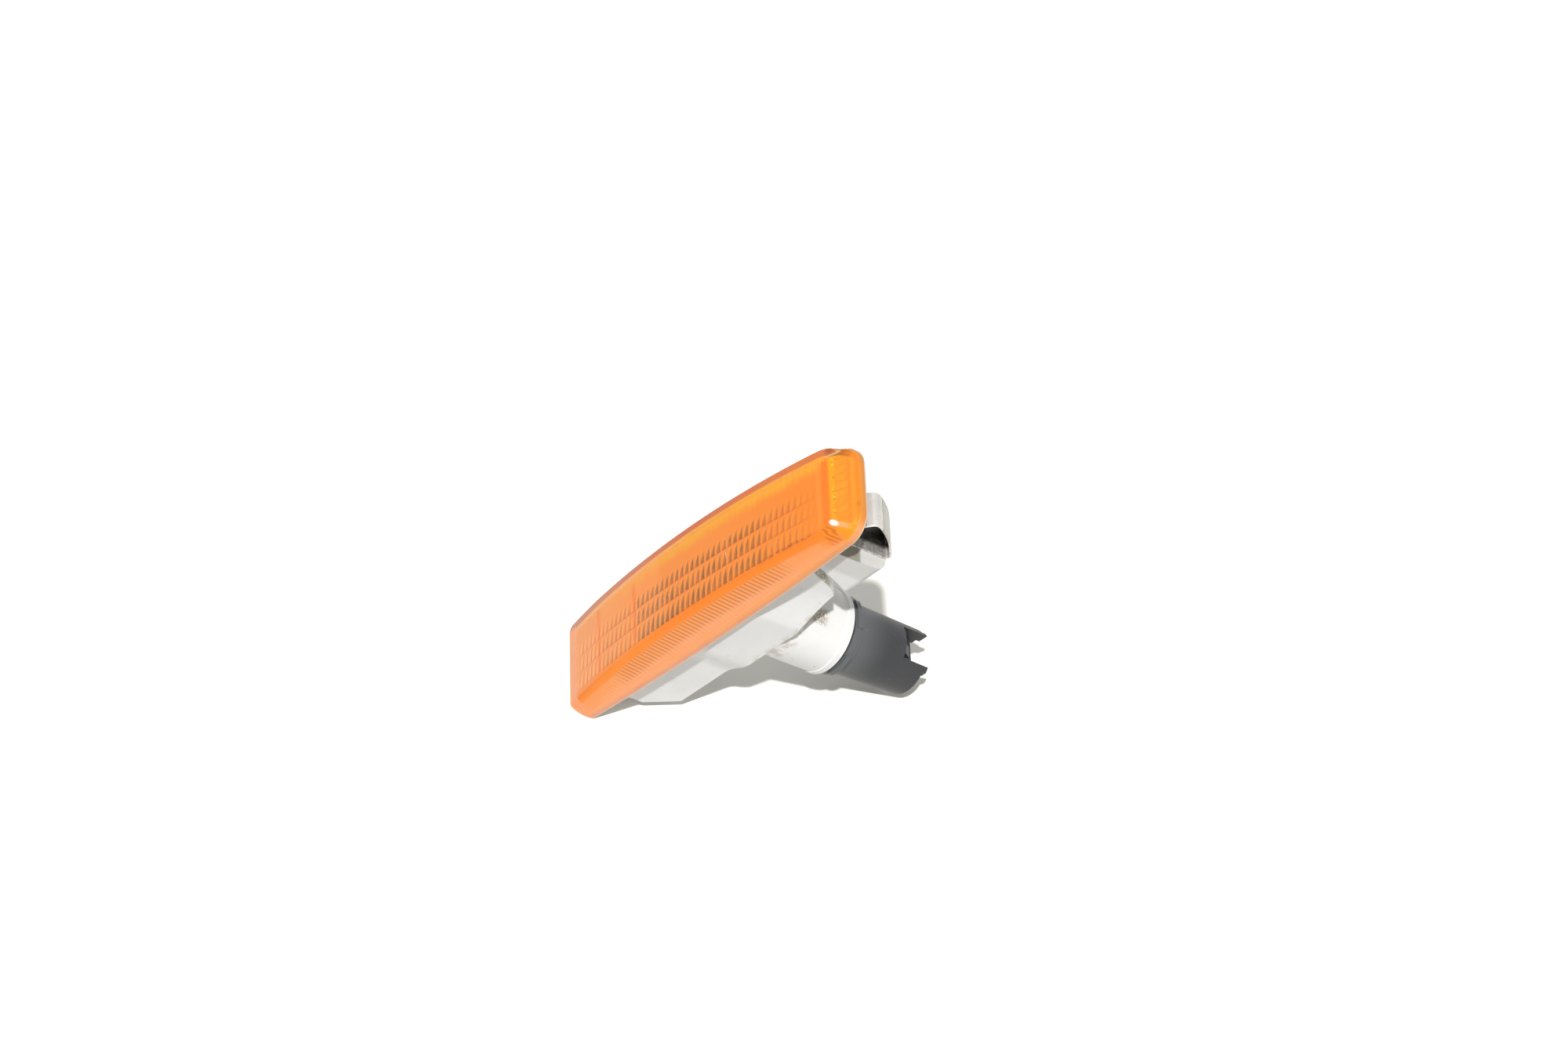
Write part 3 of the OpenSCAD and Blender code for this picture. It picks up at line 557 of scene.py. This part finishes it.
# Lens materials
def amber_skin():
    """Clear smooth resin in front of the optics, and solid amber where the wall is seen edge on."""
    m = Mat("amber_skin")
    t = m.tree
    cover = m.attribute("cover")
    side = bow(m.x) + HALF_H
    gap_top = side - m.z
    strip = m.mix(m.x.rise(-45.0, 0.0), srgb("CE866C"), srgb("D2744C"))
    strip = m.mix(m.x.rise(0.0, 42.0), strip, srgb("E07A42"))
    strip = m.mix(gap_top.rise(0.7, 0.2) * 0.5, strip, srgb("D08C78"))
    # Painted light: a bright band just under the strip, with the scallops in it
    painted_light_band = m.mix(m.x.rise(-40.0, 20.0), srgb("FFB06C"), srgb("FFA82E"))
    # The scallops show 1 mm further right here than on the inner skin, which is seen at a slant
    wave = (((m.x - 1.0) / PITCH).fract() - 0.5).abs() * 2.0
    painted_light_band = m.mix(wave.rise(0.6, 1.0) * 0.4 * gap_top.rise(2.2, 3.0) * m.x.rise(-10.0, 30.0), painted_light_band,
                srgb("FF9638"))
    strip = m.mix(gap_top.rise(2.1, 2.6), strip, painted_light_band)
    strip = m.mix(m.x.rise(-50.2, -51.2) * gap_top.rise(1.2, 2.2), strip, srgb("FFA572"))
    strip = m.mix(m.x.rise(-53.2, -54.1), strip, srgb("FFBA7C"))
    side_low = m.mix(m.x.rise(-20.0, 46.0), srgb("FBA87C"), srgb("FBA668"))
    side_low = m.mix(m.x.rise(52.5, 54.2) * m.z.rise(-13.0, -9.0), side_low, srgb("E4903C"))
    solid = m.mix(m.y.rise(-2.3, -1.8), strip, side_low)
    uneven = m.noise(0.25, 3.0)
    solid = m.mix(uneven.rise(0.35, 0.8) * 0.25, solid, srgb("E58A4E"))
    solid = m.mix(m.y.rise(-0.6, -0.25), solid, srgb("F3D0B4"))
    # A painted highlight: a white glint at the lower right corner with a pink tail, painted on the skin and made
    # solid through cover
    along = (m.x - 48.2) / 1.15
    across = m.z + 8.6 + (m.x - 48.3) * 0.5
    spot = (along ** 2.0 + (across / 0.95) ** 2.0).rise(1.5, 0.25)
    glint_tail = across.band(-0.1, 0.45, 0.75) * m.x.rise(47.4, 48.6) * m.x.rise(52.8, 50.6) * 0.6
    solid = m.mix(glint_tail, solid, srgb("FFC4A0"))
    solid = m.mix(spot, solid, srgb("FFFDF8"))
    cover = cover.max(glint_tail).max(spot * 0.95)
    body = m.principled(solid, 0.2, Specular_IOR_Level=0.3)
    resin = m.principled(srgb("FFFDF8"), 0.04, Transmission_Weight=1.0, IOR=1.5, Specular_IOR_Level=0.12,
                         Specular_Tint=(1.0, 0.85, 0.6, 1.0))
    clear = t.nodes.new("ShaderNodeBsdfTransparent")
    path = t.nodes.new("ShaderNodeLightPath")
    lamp = Ex(t, path.outputs["Is Shadow Ray"]).max(Ex(t, path.outputs["Is Diffuse Ray"]))
    seen = t.nodes.new("ShaderNodeMixShader")
    m.link(cover, seen.inputs[0])
    t.links.new(resin.outputs[0], seen.inputs[1])
    t.links.new(body.outputs[0], seen.inputs[2])
    skin = t.nodes.new("ShaderNodeMixShader")
    m.link(lamp, skin.inputs[0])
    t.links.new(seen.outputs[0], skin.inputs[1])
    t.links.new(clear.outputs[0], skin.inputs[2])
    return m.finish(skin)


def amber_optics():
    """The inner skin: rows of teeth on the face, ribs in the bevels, and colours that vary with the form."""
    m = Mat("amber_optics")
    x, z = m.x, m.z
    side = bow(x) + HALF_H
    gap_top = side - z
    gap_low = side + z
    face = x.rise(46.6, 46.2)
    base = m.mix(x.rise(-52.0, -8.0), srgb("FFA68E"), srgb("FF9A52"))
    base = m.mix(x.rise(-8.0, 46.0), base, srgb("FF9430"))
    # Faint upright lines at the left end, and the crease beside them
    fine = (x / 1.3).fract()
    base = m.mix((fine - 0.5).abs().rise(0.35, 0.1) * x.rise(-41.0, -43.0) * x.rise(-51.0, -49.5) * 0.3,
                 base, srgb("EE9464"))
    base = m.mix(x.band(-40.0, 0.4, 0.7) * 0.8, base, srgb("FF8640"))
    base = m.mix(x.band(STRIPE_X, 0.5, 0.5) * gap_low.rise(6.5, 7.5) * gap_top.rise(3.4, 4.4) * 0.9, base,
                 srgb("FF8420"))
    # Yellow scallops under the upper wall
    scallop = (((x / PITCH).fract() - 0.5).abs() * 2.0) ** 3.0
    reach = gap_top + scallop * 1.2 * x.rise(-20.0, 30.0) + (m.noise(0.25, 2.0) - 0.5) * 3.0
    base = m.mix(reach.rise(6.8, 3.2) * x.rise(-52.0, 2.0) * face, base, srgb("FFB82C"))
    # Saturated band where the face turns into the lower bevel, painted light standing in for light reflected
    # inside the ridge, and the paler bevel below it
    low = gap_low - ridge_gap(x)
    base = m.mix(low.rise(0.0, -0.7), base, srgb("FFAAA8"))
    base = m.mix(low.rise(-1.0, -2.2), base, srgb("FDB2D0"))
    base = m.mix(low.band(0.3, 0.45, 0.45) * face, base, srgb("FF8C20"))
    base = m.mix(low.band(0.6, 0.7, 0.4) * x.rise(-8.0, -26.0) * 0.8, base, srgb("FF9438"))
    # Rows of teeth
    f = ((x - TOOTH_X) / PITCH).fract()
    level = z + x * ROW_TILT
    row = sum(((level - first) / (second - first)).max(0.0).min(1.0)
              for first, second in zip(ROWS, ROWS[1:]))
    v = row.fract()
    edge = ((v / 0.88) ** 2.0) * 0.7 + 0.15
    sail = f.rise(edge - 0.04, edge + 0.12) * f.rise(0.87, 0.8) * v.rise(0.92, 0.84)
    rows = level.rise(ROWS[0], ROWS[0] + 0.2) * level.rise(ROWS[3], ROWS[3] - 0.4) * low.rise(0.45, 0.7)
    clear_teeth = x.rise(-25.5, -23.5) * x.rise(32.0, 22.0)
    faint_teeth = x.rise(-39.0, -38.0) * x.rise(40.0, 32.0) * 0.4
    strength = clear_teeth.max(faint_teeth) * x.band(STRIPE_X, 0.9, 0.4).rise(1.0, 0.0)
    uneven = m.noise(0.3, 2.0).rise(0.25, 0.75) * 0.5 + 0.6
    base = m.mix(sail * rows * strength * uneven, base, srgb("A06438"))
    line = (f - 0.92).abs().rise(0.08, 0.03)
    base = m.mix(line * rows * strength * 0.75 * v.rise(0.95, 0.45), base, srgb("FFB478"))
    row_line = level.band(ROWS[1], 0.1, 0.2).max(level.band(ROWS[2], 0.1, 0.2))
    base = m.mix(row_line * x.rise(-39.0, -37.0) * x.rise(42.0, 38.0) * 0.55, base, srgb("FF8040"))
    # Painted shade: a dark uneven band along the bottom of the lowest row
    row_shade_noise = m.noise(0.7, 3.0, offset=(5, 5, 2)).rise(0.42, 0.6)
    base = m.mix(low.band(0.95, 0.3, 0.35) * x.rise(16.0, 26.0) * x.rise(43.0, 38.0) * row_shade_noise * 0.7, base,
                 srgb("B4601C"))
    # Slanting ribs inside the lower bevel
    lean = x + (z + bow(x)) * RIB_LEAN
    rib = (lean / RIB_PITCH).fract()
    ribs = (rib - 0.5).abs().rise(0.3, 0.12) * low.rise(-0.2, -0.6) * low.rise(-2.5, -1.8)
    base = m.mix(ribs * x.rise(-38.0, -32.0) * x.rise(33.0, 24.0) * 0.75, base, srgb("C87654"))
    # The right bevel: a yellow facet with cells, painted highlight sparks at its ridge and plain strips at its
    # edge
    facet = x.rise(46.0, 46.8) * gap_low.rise(3.4, 4.2)
    base = m.mix(x.band(43.6, 0.3, 0.6) * low.rise(0.5, 1.5) * 0.6, base, srgb("FFA258"))
    base = m.mix(x.band(45.3, 0.5, 0.6) * gap_top.rise(1.5, 2.5) * low.rise(0.3, 1.0), base, srgb("FF882E"))
    base = m.mix(facet, base, srgb("FF9E34"))
    base = m.mix(x.band(46.9, 0.5, 0.4) * facet, base, srgb("FFB018"))
    glow = m.noise(0.6, 3.0)
    cell = ((z + (glow - 0.5) * 0.9 - x * 0.12) / END_RIB_PITCH + 0.3).fract()
    wall = (cell - 0.5).abs().rise(0.24, 0.5)
    inside = x.rise(47.6, 48.0) * x.rise(51.0, 50.4) * z.rise(-6.4, -5.6) * z.rise(11.2, 10.4)
    base = m.mix(inside * (1.0 - wall) * glow.rise(0.35, 0.65) * 0.7, base, srgb("FFB038"))
    base = m.mix(inside * wall * glow.rise(0.35, 0.6) * 0.5, base, srgb("E88430"))
    base = m.mix(x.band(50.8, 0.15, 0.3) * facet * 0.5, base, srgb("F08A3A"))
    base = m.mix(x.band(51.8, 0.2, 0.4) * facet * 0.4, base, srgb("FFAC60"))
    base = m.mix(x.rise(52.4, 52.9) * 0.8, base, srgb("F8922E"))
    grit = m.noise(1.6, 2.0, 0.6, offset=(4, 2, 9))
    ridge = x.band(47.35, 0.22, 0.2) * z.rise(-6.2, -5.4) * z.rise(11.0, 10.4)
    # Painted highlights: bright yellow sparks along the ridge, with dark specks between them
    base = m.mix(ridge * grit.rise(0.56, 0.62), base, srgb("FFF05A"))
    base = m.mix(ridge * grit.rise(0.42, 0.36), base, srgb("B0901C"))
    smear = x.rise(51.4, 53.0) * z.band(-4.4, 0.1, 1.3)
    base = m.mix(smear * 0.4, base, srgb("9A7A2C"))
    # Bright foot of the right bevel, and the dark teeth beside it
    foot = x.rise(46.8, 48.2) * gap_low.rise(4.2, 3.4)
    base = m.mix(foot, base, srgb("FFA41C"))
    base = m.mix(x.rise(40.0, 45.0) * x.rise(48.0, 47.0) * low.rise(-1.7, -0.8) * low.rise(2.2, 0.8), base,
                 srgb("FF9410"))
    dark = ((x * 0.8 + z) / 1.05).fract()
    teeth = (dark - 0.5).abs().rise(0.32, 0.14) * x.rise(43.4, 44.6) * x.rise(47.6, 46.9)
    base = m.mix(teeth * gap_low.rise(1.8, 2.4) * gap_low.rise(5.0, 4.4) * 0.6, base, srgb("BC5610"))
    mottle = m.noise(0.12, 3.0)
    base = m.mix(mottle.rise(0.4, 0.75) * 0.15, base, srgb("FFA066"))
    base = m.multiply(base, AMBER_TINT)
    # Bright points where the light catches the edge of single teeth, which a noise picks
    pick = m.noise(0.35, 2.0, offset=(6, 2, 5)).rise(0.6, 0.68)
    point = (f - 0.9).abs().rise(0.16, 0.05) * (v - 0.6).abs().rise(0.25, 0.1)
    base = m.mix(point * pick * rows * clear_teeth.max(faint_teeth), base, srgb("FFE8C8"))
    return m.finish(m.principled(base, 0.3, Specular_IOR_Level=0.1))


lens = make_lens()
lens.data.materials.append(amber_skin())
lens.data.materials.append(amber_optics())
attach(lens, "root")
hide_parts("lens")


# Other materials
def housing_plastic():
    m = Mat("housing_plastic")
    fine = m.noise(2.2, 4.0, 0.6)
    broad = m.noise(0.09, 4.0, 0.6)
    patch = m.noise(0.35, 4.0, 0.6, offset=(3, 1, 7))
    colour = m.mix(broad.rise(0.3, 0.7), srgb("F6F5F3"), srgb("F0EFED"))
    colour = m.mix(patch.rise(0.6, 0.75) * 0.2, colour, srgb("DDDAD4"))
    # Painted shade: the arm is painted darker than the skirt
    colour = m.mix(m.x.rise(31.5, 33.5), colour, srgb("E0DEDB"))
    # Dirt and painted shade in the groove between skirt and arm, and dirt on the sleeve along the skirt's rear
    # edge
    groove_dirt_and_shade = (m.x + m.y * 0.4).band(31.6, 1.2, 0.8) * m.y.rise(16.0, 12.0) * (m.z + 0.9).abs().rise(5.0, 6.0)
    colour = m.mix(groove_dirt_and_shade * fine.rise(0.3, 0.55) * 0.9, colour, srgb("7E785C"))
    # Painted shadow on the arm's end face, next to the lens rim
    end = m.x.band(39.0, 0.15, 0.1) * m.y.rise(11.0, 10.0) * m.y.rise(2.6, 3.4) * m.z.rise(-2.0, -4.0)
    colour = m.mix(end * 0.8, colour, srgb("8E8672"))
    foot = m.y.band(17.6, 1.2, 2.5) * patch.rise(0.42, 0.58) * m.x.band(3.0, 10.0, 4.0)
    colour = m.mix(foot * 0.5, colour, srgb("B3A78C"))
    spot = ((m.x - 9.3).abs() / 2.0).max((m.z + 4.8).abs() / 2.2).max((m.y - 22.0).abs() / 4.0)
    colour = m.mix(spot.rise(1.1, 0.5) * fine.rise(0.35, 0.55) * 0.8, colour, srgb("9A8860"))
    speck = m.noise(1.1, 2.0, 0.5, offset=(8, 3, 2))
    colour = m.mix(speck.rise(0.74, 0.78) * 0.6, colour, srgb("A09684"))
    rough = patch.rise(0.4, 0.8) * 0.2 + 0.38
    bump = m.bump(fine, 0.02, 0.4)
    return m.finish(m.principled(colour, rough, Normal=bump, Specular_IOR_Level=0.35))


def spring_steel():
    m = Mat("spring_steel")
    grain = m.noise(1.5, 3.0, 0.6, stretch=(1, 1, 2))
    broad = m.noise(0.2, 3.0)
    colour = m.mix(broad.rise(0.35, 0.7), srgb("E2DFDA"), srgb("D2CFCA"))
    colour = m.mix(grain.rise(0.45, 0.7) * 0.25, colour, srgb("A8A49E"))
    # Painted shade: the inner leg under the front segment is painted nearly black
    hollow_shade = m.x.rise(46.0, 42.0) * m.z.rise(-3.6, -2.2)
    colour = m.mix(hollow_shade, colour, srgb("2C2824"))
    speckle = m.noise(1.3, 3.0, 0.6, offset=(1, 6, 2))
    colour = m.mix(m.x.rise(46.0, 42.0) * speckle.rise(0.4, 0.6) * 0.4, colour, srgb("6C6862"))
    outer = m.x.rise(44.0, 46.0)
    colour = m.mix(m.y.rise(9.7, 10.3) * outer * 0.6, colour, srgb("9A9894"))
    colour = m.mix(m.y.band(9.7, 0.1, 0.25) * outer * 0.7, colour, srgb("6A6866"))
    rough = grain.rise(0.3, 0.8) * 0.2 + 0.36
    return m.finish(m.principled(colour, rough, Metallic=0.6, Normal=m.bump(grain, 0.01, 0.3)))


def holder_plastic():
    m = Mat("holder_plastic")
    fine = m.noise(3.0, 4.0, 0.6)
    broad = m.noise(0.12, 3.0)
    scuff = m.noise(0.5, 6.0, 0.7, stretch=(1, 0.5, 1), warp=1.2, offset=(2, 5, 1))
    colour = m.mix(broad, srgb("2E2F33"), srgb("3A3B3F"))
    # Painted reflection: the holder is lighter towards the flange
    colour = m.mix(m.y.rise(48.0, 36.0) * 0.9, colour, srgb("626467"))
    colour = m.mix(scuff.rise(0.62, 0.7) * 0.4, colour, srgb("6E6F70"))
    colour = m.mix(fine.rise(0.7, 0.76) * 0.5, colour, srgb("A9A69C"))
    rough = broad * 0.12 + 0.42
    return m.finish(m.principled(colour, rough, Normal=m.bump(fine, 0.02, 0.5), Specular_IOR_Level=0.45))


def seal_rubber():
    m = Mat("seal_rubber")
    fine = m.noise(2.0, 3.0)
    colour = m.mix(fine, srgb("262728"), srgb("323335"))
    return m.finish(m.principled(colour, fine * 0.2 + 0.6, Normal=m.bump(fine, 0.02, 0.4)))


def contact_brass():
    m = Mat("contact_brass")
    tarnish = m.noise(0.6, 4.0, 0.6)
    colour = m.mix(tarnish.rise(0.35, 0.7), srgb("C9B27A"), srgb("8E7A4C"))
    return m.finish(m.principled(colour, tarnish * 0.25 + 0.25, Metallic=1.0))


def bulb_glass():
    m = Mat("bulb_glass")
    haze = m.noise(0.3, 2.0)
    colour = m.mix(haze, srgb("E4EAEC"), srgb("F2F6F7"))
    return m.finish(m.principled(colour, haze * 0.05 + 0.03, Transmission_Weight=0.7, IOR=1.5))


def dress(name, material, edge, smooth_angle=30.0):
    """Gives a CAD node its material, softened edges and smooth curved faces."""
    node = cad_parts[name]
    for slot in node.material_slots:
        slot.material = material
    weld = node.modifiers.new("weld", "WELD")
    weld.merge_threshold = 0.000004
    bevel = node.modifiers.new("bevel", "BEVEL")
    bevel.width = edge * MM
    bevel.segments = 2
    bevel.limit_method = "ANGLE"
    bevel.angle_limit = math.radians(smooth_angle)
    bevel.use_clamp_overlap = True
    bevel.harden_normals = False
    node.data.polygons.foreach_set("use_smooth", [True] * len(node.data.polygons))
    weighted = node.modifiers.new("shade", "WEIGHTED_NORMAL")
    weighted.keep_sharp = False


dress("housing", housing_plastic(), 0.25)
dress("spring_clip", spring_steel(), 0.12)
dress("bulb_holder", holder_plastic(), 0.25)
dress("holder_seal", seal_rubber(), 0.2)
dress("bulb", bulb_glass(), 0.3)
brass = contact_brass()
dress("upper_terminal", brass, 0.08)
dress("lower_terminal", brass, 0.08)
